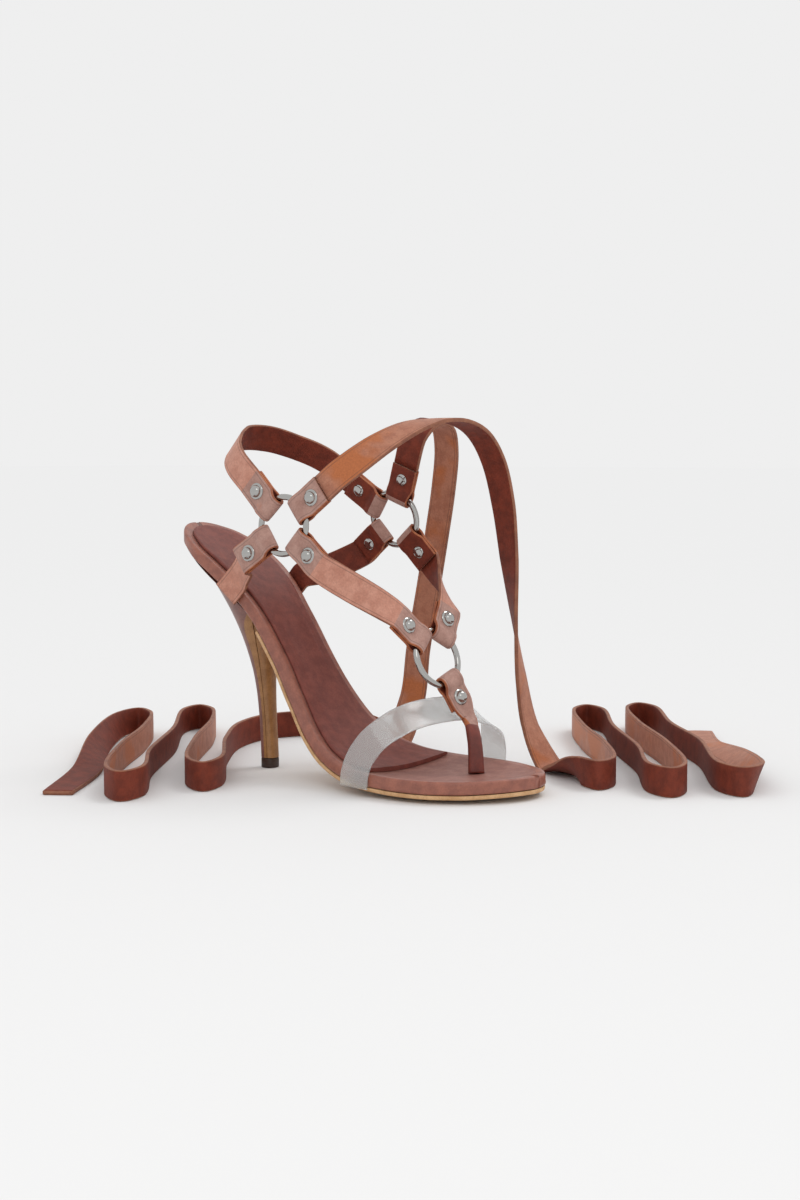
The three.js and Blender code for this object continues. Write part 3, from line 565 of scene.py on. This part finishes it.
def band(name, stations, materials, grain_out=None, creases=(), soft=0.32):
    """A strap with rounded edges.

    Materials are 0 grain, 1 grain of a tab, 2 edge, 3 back, 4 edge of a tab, 5 other."""
    n = len(stations)
    p = np.array([q["p"] for q in stations])
    t = np.gradient(p, axis=0)
    t /= np.linalg.norm(t, axis=1)[:, None]
    sign, best = 1.0, 0.0
    run = np.concatenate([[0], np.cumsum(np.linalg.norm(np.diff(p, axis=0), axis=1))])
    ups, ws = [], []
    for i, q in enumerate(stations):
        w = unit(q["w"] - t[i] * np.dot(q["w"], t[i]))
        up = np.cross(w, t[i])
        ws.append(w)
        ups.append(up)
        if q.get("in") is not None:
            best += np.dot(up, q["in"])
    if grain_out is not None:
        best = np.dot(ups[0], grain_out)
    if best < 0:
        sign = -1.0
    rings, uv = [], []
    for i, q in enumerate(stations):
        hw, ht = q["width"] / 2, q["thick"] / 2
        r = min(soft, ht * 0.6)
        press = 0.0
        for where, depth, wide in creases:
            press += depth * math.exp(-(((run[i] - where * run[-1]) / wide) ** 2))
        ring = []
        top = [-1 + 2 * k / 8 for k in range(9)]
        row = [(u * (hw - r), ht + 0.10 * (1 - u * u) - 0.05, u) for u in top]
        row += [(hw - r * 0.3, ht - r * 0.3, 1.0), (hw, ht - r, 1.0), (hw, -ht + r, 1.0),
                (hw - r * 0.3, -ht + r * 0.3, 1.0)]
        row += [(u * (hw - r), -ht, u) for u in reversed(top)]
        row += [(-hw + r * 0.3, -ht + r * 0.3, -1.0), (-hw, -ht + r, -1.0), (-hw, ht - r, -1.0),
                (-hw + r * 0.3, ht - r * 0.3, -1.0)]
        for x, y, u in row:
            ring.append(q["p"] + ws[i] * x * sign + ups[i] * (y + press) * sign)
            uv.append((0.5 + u / 2, run[i] / 100))
        rings.append(ring)
    verts, faces = skin(rings)
    m = len(rings[0])
    mats = []
    for i in range(n - 1):
        kind = stations[i]["kind"]
        for j in range(m):
            if kind == 5:
                mats.append(5)
            elif j < 8:
                mats.append(3 if kind == 6 else kind)
            elif j < 13 or j >= 21:
                mats.append(4 if kind in (1, 6) else 2)
            else:
                mats.append(3)
    mats += [2, 2]
    return piece(name, verts, faces, materials, mats, uv=uv)


def strap(name, node, start, via, end, creases=()):
    head = fold(start)
    last_one = head[-1]
    last_one["kind"] = 0
    tail = fold(end)[::-1] if end else []
    if end and np.dot(tail[0]["w"], last_one["w"]) < 0:
        for q in tail:
            q["w"] = -q["w"]
    free = []
    for i, v in enumerate(via):
        if len(v) > 3:
            w = heading(*v[3])
        elif end:
            f = (i + 1) / (len(via) + 1)
            w = unit(last_one["w"] * (1 - f) + tail[0]["w"] * f)
        else:
            w = last_one["w"].copy()
        if np.dot(w, last_one["w"]) < 0:
            w = -w
        free.append({"p": at(*v[:3]), "w": w, "width": STRAP, "kind": 0, "thick": LEATHER, "in": None})
    body = head + free + tail
    fine = run_of(body, 1.3)
    skin_mats = [ROSE, MAUVE, EDGE, BACK, FOLD_EDGE, POST]
    obj = band(name, fine, skin_mats, creases=creases)
    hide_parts(node)
    return obj


heel_strap_via = {
    -1: [(-33.2, 64, 107.3), (-28.6, 57.5, 102.6)],
    1: [(37.8, 72.4, 106.4), (30.6, 61.6, 101)],
}
for node, key, side in (("heel_strap_lateral", "heel_l", -1), ("heel_strap_medial", "heel_m", 1)):
    def wall(s):
        return mid_of(s) + side * (half_of(s) + 0.35 + LEATHER / 2)

    low = [
        (wall(50) + side * 1.2, 52.5, 98.6, (side * -0.12, 0.55, -0.83)),
        (wall(48) + side * 0.5, 47.8, 94.2, (side * -0.14, 0.6, -0.8)),
        (wall(46) + side * 0.5, 44.6, 90.9, (side * -0.14, 0.6, -0.8)),
    ]
    strap(node + "_skin", node, key, heel_strap_via[side] + low, None, [(0.66, -0.25, 4)])

strap("ankle_strap_skin", "ankle_strap", "ankle_l", [
    (-32, 57, 158),
    (-21, 46.5, 165.5),
    (-8, 41.5, 169.5, (0, 0.5, 0.86)),
    (8, 42, 169.5, (0, 0.5, 0.86)),
    (22, 49, 165.5),
    (33, 61, 158.5),
], "ankle_m", [(0.33, 0.22, 5), (0.42, -0.25, 4), (0.55, 0.25, 6), (0.67, -0.2, 4)])
strap("vamp_strap_lateral_skin", "vamp_strap_lateral", "vamp_l", [], "vamp_l2",
      [(0.46, -0.2, 4), (0.56, 0.15, 4)])
strap("vamp_strap_medial_skin", "vamp_strap_medial", "vamp_m", [], "vamp_m2", [(0.52, -0.2, 4)])
for node, key in (("tie_tab_lateral", "tie_l"), ("tie_tab_medial", "tie_m")):
    stations = run_of(fold(key), 1.0)
    tab = band(node + "_skin", stations, [ROSE, MAUVE, EDGE, BACK, FOLD_EDGE, POST])
    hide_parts(node)

# toe tab and post
POST_AT = (8.4, 174.6)
tf = Fold("toe")
post_sign = 1 if np.dot(heading(1, 0.1, 0), tf.w) > 0 else -1
head = fold("toe", 4.5, 1.5)
head[-1]["width"] = 14.8
tail = [
    (tf.point(tf.stud + 4, 0.88), tf.w, 14.0, LEATHER, 1),
    (tf.point(tf.stud + 6.5, 0.78), tf.w, 12.2, LEATHER, 1),
    (tf.point(tf.stud + 8.6, 0.6), tf.w, 10.0, 1.7, 1),
    (tf.point(tf.stud + 10.4, 0.4), tf.w, 8.4, 2.0, 1),
    (at(11, 170, 30.6), heading(1, 0.1, 0) * post_sign, 6.8, 3.4, 5),
    (at(9.6, 172.8, 23), heading(0.8, 0.5, 0) * post_sign, 6.8, 4.2, 5),
    (at(9, 173.9, 16), heading(0.7, 0.7, 0) * post_sign, 7.2, 4.6, 5),
    (at(*POST_AT, 8.6), heading(0.7, 0.7, 0) * post_sign, 7.8, 5.0, 5),
]
head += [{"p": p, "w": w, "width": a, "thick": b, "kind": k, "in": None} for p, w, a, b, k in tail]
toe = band("toe_strap_post_skin", run_of(head, 0.9), [ROSE, MAUVE, EDGE, BACK, FOLD_EDGE, POST], soft=1.4)
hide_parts("toe_strap_post")

# the clear strap over the toes
clear = [
    ((-40.3, 138, 4.6), (0.1, 1, 0)),
    ((-40.5, 138.5, 10), (0.1, 1, 0)),
    ((-39.2, 140, 17), (0.1, 1, -0.1)),
    ((-34.5, 144, 26), (0.1, 1, -0.35)),
    ((-25, 148.8, 32.8), (0.05, 1, -0.7)),
    ((-12, 152.6, 36.8), (0, 1, -0.95)),
    ((4, 155.4, 38), (0, 1, -1)),
    ((18, 157.4, 37.2), (0, 1, -0.95)),
    ((30, 160, 33.2), (-0.05, 1, -0.75)),
    ((38.5, 162.5, 26), (-0.1, 1, -0.4)),
    ((41.8, 162, 17), (-0.05, 1, -0.1)),
    ((42, 161.5, 10), (0, 1, 0)),
    ((41.6, 161.2, 4.6), (0, 1, 0)),
]
stations = [{"p": at(*p), "w": heading(*w), "width": 15, "thick": 1.0, "kind": 0, "in": None} for p, w in clear]
clear_strap = band("clear_strap_skin", run_of(stations, 1.6), [CLEAR] * 6,
                   creases=[(0.285, -0.35, 1.6), (0.33, 0.15, 4), (0.7, -0.25, 2.5)], soft=0.25)
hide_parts("clear_strap")

# ---------- rings and studs ----------
ROUND_RING, ROUND_WIRE = 96, 18
for name in RINGS:
    c, e1, e2, out = ring_frame(name)
    verts, faces = [], []
    for i in range(ROUND_RING):
        a = 2 * math.pi * i / ROUND_RING
        r = e1 * math.cos(a) + e2 * math.sin(a)
        ahead = (i + 1) % ROUND_RING
        for j in range(ROUND_WIRE):
            b = 2 * math.pi * j / ROUND_WIRE
            beside = (j + 1) % ROUND_WIRE
            verts.append(c + r * (RING_R + WIRE_R * math.cos(b)) + out * WIRE_R * math.sin(b))
            faces.append((i * ROUND_WIRE + j, i * ROUND_WIRE + beside,
                          ahead * ROUND_WIRE + beside, ahead * ROUND_WIRE + j))
    ring = piece("ring_%s_skin" % name, verts, faces, [NICKEL])
    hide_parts("ring_" + name)

TOP = LEATHER + 0.32
STUD = [(0.0, -TOP - 0.7), (1.4, -TOP - 0.68), (2.5, -TOP - 0.5), (3.0, -TOP - 0.2), (3.1, -TOP), (1.0, -TOP),
        (1.0, TOP), (4.0, TOP),
        (4.05, TOP + 0.2), (3.85, TOP + 0.45), (3.3, TOP + 0.62), (3.05, TOP + 0.72), (2.98, TOP + 1.0),
        (2.8, TOP + 1.6),
        (2.4, TOP + 2.2), (1.8, TOP + 2.65), (1.0, TOP + 2.95), (0.0, TOP + 3.05)]
for key in FOLDS:
    f = Fold(key)
    verts = [f.point(f.stud, STUD[0][1])]
    side_w = f.w
    for r, h in STUD[1:-1]:
        for k in range(36):
            a = 2 * math.pi * k / 36
            verts.append(f.point(f.stud, h) + (f.d * math.cos(a) + side_w * math.sin(a)) * r)
    verts.append(f.point(f.stud, STUD[-1][1]))
    faces = []
    rows = len(STUD) - 2
    for k in range(36):
        n = (k + 1) % 36
        faces.append((0, 1 + n, 1 + k))
        for i in range(rows - 1):
            faces.append((1 + i * 36 + k, 1 + i * 36 + n, 1 + (i + 1) * 36 + n, 1 + (i + 1) * 36 + k))
        faces.append((1 + (rows - 1) * 36 + k, 1 + (rows - 1) * 36 + n, len(verts) - 1))
    if np.dot(np.cross(f.d, side_w), f.out) < 0:
        faces = [tuple(reversed(q)) for q in faces]
    stud = piece("stud_%s_skin" % key, verts, faces, [NICKEL], sharp=40)
    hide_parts("stud_" + key)

# ---------- heel ----------
BREAST_ANGLE = 72


def heel_point(z, angle, inset):
    c, b = (heel_back(z) + heel_front(z)) / 2, (heel_front(z) - heel_back(z)) / 2
    co, si = math.cos(math.radians(angle)), math.sin(math.radians(angle))
    e = 0.84 if co > 0 else 1
    x = heel_half(z) * math.copysign(abs(si) ** e, si)
    s = b * math.copysign(abs(co) ** e, co)
    r = math.hypot(x, s)
    k = (r - inset) / r
    return at(x * k, c + s * k, z)


def under_rim(p):
    """Brings a point down to the underside of the rim."""
    s = BACK_Y - p[1]
    for _ in range(4):
        q = min(max(s, 0.5), 100)
        ns, nz = normal_at(q)
        s = BACK_Y - p[1] + (RIM_THICK + GAP + cup_of(q)) * ns
    q = min(max(s, 0.0), 100)
    h = max(half_of(q), 2)
    u = (p[0] - mid_of(q)) / h
    ns, nz = normal_at(q)
    top = edge_z(q) - (RIM_THICK + GAP + cup_of(q) * max(0, 1 - u * u)) * nz
    return min(p[2], top)


# the tan front of the heel stands under an arch: its half width in degrees, and its height
TAN_LOW, TAN_SPREAD = 92, 12
TAN_TOP, TAN_DROP = 86, 16


def tube(name, node, angles, low, high, count, materials, back_inset, face_inset=0.0):
    rings = []
    for i in range(count + 1):
        z = low + (high - low) * i / count
        ring = [heel_point(z, a, face_inset if side else back_inset) for a, side in angles]
        for q in ring:
            q[2] = under_rim(q)
        rings.append(ring)
    verts, faces = skin(rings)
    mats = []
    for i in range(count):
        z = low + (high - low) * (i + 0.5) / count
        for a, side in angles:
            a = abs((a + 180) % 360 - 180)
            wide = TAN_LOW + TAN_SPREAD * smooth((z - 35) / 40)
            tall = TAN_TOP - TAN_DROP * (a / wide) ** 4
            mats.append(1 if side and a < wide and z < tall and len(materials) > 1 else 0)
    obj = piece(name, verts, faces, materials, mats + [0, 0], sharp=55)
    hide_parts(node)
    return obj


core = [(a, False) for a in np.linspace(-BREAST_ANGLE + 0.5, BREAST_ANGLE - 0.5, 17)]
shell = [(a, True) for a in np.linspace(BREAST_ANGLE + 0.6, 360 - BREAST_ANGLE - 0.6, 109)]
tube("heel_skin", "heel", core + shell, 5.3, 127, 150, [HEEL_SKIN, BREAST], 1.3)
face = [(a, True) for a in np.linspace(-BREAST_ANGLE + 2.2, BREAST_ANGLE - 2.2, 25)]
back = [(a, False) for a in np.linspace(BREAST_ANGLE - 2.2, -BREAST_ANGLE + 2.2, 25)]
tube("heel_breast_skin", "heel_breast", face + back, 5.3, 86, 60, [BREAST], 1.0)
tip = []
for z, grow in ((0, -0.45), (0.12, -0.2), (0.4, 0), (4.6, 0), (4.9, -0.1), (5.0, -0.35)):
    ring = [heel_point(5.3, a, -grow) for a in range(0, 360, 8)]
    for q in ring:
        q[2] = z
    tip.append(ring)
verts, faces = skin(tip)
top_piece = piece("top_piece_skin", verts, faces, [TIP], sharp=60)
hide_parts("top_piece")

# ---------- ties; their floor rows are across and along a line turned about a point of the sole ----------
TURN = math.radians(38)
PIVOT = 120
TIES = {
    "tie_lateral": {
        "from": "tie_l",
        "air": [
            ((-28, 131, 158.6), (0, -0.75, 0.65)),
            ((-18, 138.6, 167), (0, -0.9, 0.4)),
            ((-4, 144.4, 174), (0, -1, 0.2)),
            ((11, 148, 177.4), (0, -1, 0)),
            ((27, 150, 177.4), (0, -1, 0)),
            ((43, 151.2, 171.6), (0, -1, 0)),
            ((56, 151.6, 158), (0, -1, 0)),
            ((64.6, 152, 136), (0.1, -1, 0)),
            ((69, 152.8, 108), (0.35, -0.9, 0)),
            ((71.6, 154.4, 78), (0.75, -0.65, 0)),
            ((73, 157.6, 48), (0.96, -0.3, 0)),
            ((74, 163, 22), (1, -0.05, 0)),
        ],
        "floor": [  # across, along, how far it stands on its edge
            (90, 24, 0), (95, 6, 0.3), (100, -16, 0.9), (107, -28, 1), (115, -18, 1), (118, 30, 1),
            (114, 96, 1), (117, 160, 1), (125, 172, 1), (132, 160, 1), (130, 90, 1), (133, 20, 1),
            (131, -36, 1), (139, -48, 1), (147, -36, 1), (150, 34, 1), (146, 108, 1), (149, 168, 1),
            (157, 180, 1), (164, 168, 1), (163, 100, 1), (168, 40, 1), (165, -34, 1), (173, -47, 1),
            (182, -34, 0.8), (186, 30, 0.4), (183, 96, 0.1), (188, 150, 0),
        ],
    },
    "tie_medial": {
        "from": "tie_m",
        "air": [
            ((31.4, 120.6, 170.6), (0, -0.95, 0.3)),
            ((36.4, 122.6, 176), (0, -1, 0.2)),
            ((45, 123, 178), (0, -1, 0.14)),
            ((54.4, 121.8, 174.4), (0, -1, 0.14)),
            ((62, 118.4, 163), (0, -0.98, 0.18)),
            ((67, 113, 144), (0, -0.98, 0.2)),
            ((70.4, 106, 118), (0, -0.98, 0.2)),
            ((72.6, 98.6, 88), (0, -0.98, 0.2)),
            ((74.8, 91, 58), (-0.04, -0.98, 0.2)),
            ((78.4, 84.4, 30), (-0.15, -0.98, 0.14)),
        ],
        "floor": [  # across, along, how far it stands on its edge
            (10, 96, 0), (5, 118, 0.3), (-10, 140, 1), (-36, 148, 1), (-60, 136, 1), (-74, 106, 1),
            (-78, 50, 1), (-76, -14, 1), (-83, -28, 1), (-91, -15, 1), (-94, 50, 1), (-91, 120, 1),
            (-95, 164, 1), (-103, 176, 1), (-110, 163, 1), (-109, 86, 1), (-113, 12, 1), (-111, -40, 1),
            (-119, -53, 1), (-127, -40, 1), (-130, 30, 1), (-126, 96, 1), (-129, 150, 1), (-137, 162, 0.9),
            (-145, 148, 0.8), (-149, 90, 0.5), (-146, 20, 0.1), (-151, -36, 0),
        ],
    },
}
for name, tie in TIES.items():
    f = Fold(tie["from"])
    rows = [(at(*p), heading(*w)) for p, w in tie["air"]]
    w0 = f.w if np.dot(f.w, rows[0][1]) > 0 else -f.w
    start = f.stud + TAB_END + GAP
    rows = [(f.point(start, 0), w0), (f.point(start + 4, 0), w0), (f.point(start + 9, 0), w0)] + rows
    lie = [at(a * math.sin(TURN) + b * math.cos(TURN), PIVOT + a * math.cos(TURN) - b * math.sin(TURN), 0)
           for a, b, _ in tie["floor"]]
    for i, (_, _, edge) in enumerate(tie["floor"]):
        t = unit(lie[min(len(lie) - 1, i + 1)] - lie[max(0, i - 1)])
        tilt = edge * math.pi / 2
        p = lie[i].copy()
        p[2] = TIE_WIDTH / 2 * math.sin(tilt) + TIE_THICK / 2 * math.cos(tilt) + 0.2
        w = np.array([t[1], -t[0], 0]) * math.cos(tilt)
        w[2] = math.sin(tilt)
        rows.append((p, w))
    for i in range(1, len(rows)):
        if np.dot(rows[i][1], rows[i - 1][1]) < 0:
            rows[i] = (rows[i][0], -rows[i][1])
    fine = run_of([{"p": p, "w": w, "width": TIE_WIDTH, "thick": TIE_THICK, "kind": 0, "in": None} for p,
                   w in rows], 3.0)
    for q in fine:
        t = q["w"][2] / (np.linalg.norm(q["w"]) + 1e-9)
        need = TIE_WIDTH / 2 * abs(t) + TIE_THICK / 2 * math.sqrt(max(0, 1 - t * t)) + 0.05
        q["p"][2] = max(q["p"][2], need)
    obj = band(name + "_skin", fine, [TIE, TIE, EDGE, BACK, EDGE, POST], grain_out=f.out, soft=0.4)
    path = [tuple(float(c) / 1000 for c in q["p"]) for q in fine]
    length = sum(math.dist(a, b) for a, b in zip(path, path[1:]))
    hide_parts(name)
    print(name, "runs", round(length, 3), "m")

# ---------- floor, light, camera ----------
floor_mesh = bpy.data.meshes.new("floor")
floor_mesh.from_pydata([(-25, -25, 0), (25, -25, 0), (25, 25, 0), (-25, 25, 0)], [], [(0, 1, 2, 3)])
floor = bpy.data.objects.new("floor", floor_mesh)
bpy.context.collection.objects.link(floor)
floor_mesh.materials.append(material("pale_floor", (0.83, 0.83, 0.83), 0.9, 0.0, {"Specular IOR Level": 0.0}))

scene = bpy.context.scene
scene.view_settings.view_transform = "Standard"
world = bpy.data.worlds.new("studio")
scene.world = world
world.use_nodes = True
world.node_tree.nodes["Background"].inputs["Color"].default_value = (0.98, 0.98, 0.98, 1)
world.node_tree.nodes["Background"].inputs["Strength"].default_value = 0.88


def area(name, place, target, size, watts, color=(1, 1, 1)):
    light = bpy.data.lights.new(name, "AREA")
    light.shape = "RECTANGLE"
    light.size, light.size_y = size
    light.energy = watts
    light.color = color
    obj = bpy.data.objects.new(name, light)
    obj.location = place
    obj.rotation_mode = "QUATERNION"
    obj.rotation_quaternion = (Vector(target) - Vector(place)).to_track_quat("-Z", "Y")
    bpy.context.collection.objects.link(obj)
    return obj


sun = bpy.data.lights.new("key", "SUN")
sun.energy, sun.angle = 0.63, math.radians(25)
key = bpy.data.objects.new("key", sun)
key.rotation_mode = "QUATERNION"
key.rotation_quaternion = Vector((-0.6, 0.25, -1)).to_track_quat("-Z", "Y")
bpy.context.collection.objects.link(key)
area("front", (-0.9, -0.8, 1.0), (0, 0, 0.06), (0.8, 0.5), 1.6, (1, 0.985, 0.96))

cam = bpy.data.cameras.new("camera")
camera = bpy.data.objects.new("camera", cam)
bpy.context.collection.objects.link(camera)
ACROSS = math.radians(37.74)
AWAY = 0.8978
camera.location = (-AWAY * math.cos(ACROSS), BACK_Y / 1000 - 0.12 - AWAY * math.sin(ACROSS), 0.1599)
camera.rotation_mode = "XYZ"
VIEW_WIDE, VIEW_MID, VIEW_DOWN = 0.392, 0.012, -0.070
camera.rotation_euler = (math.radians(90) + math.atan(VIEW_DOWN / AWAY), 0,
                         ACROSS - math.radians(90) - math.atan(VIEW_MID / AWAY))
cam.sensor_fit = "VERTICAL"
cam.sensor_height = 36
cam.lens = 36 * AWAY / (VIEW_WIDE * 1.5)
cam.clip_start, cam.clip_end = 0.01, 90
scene.camera = camera
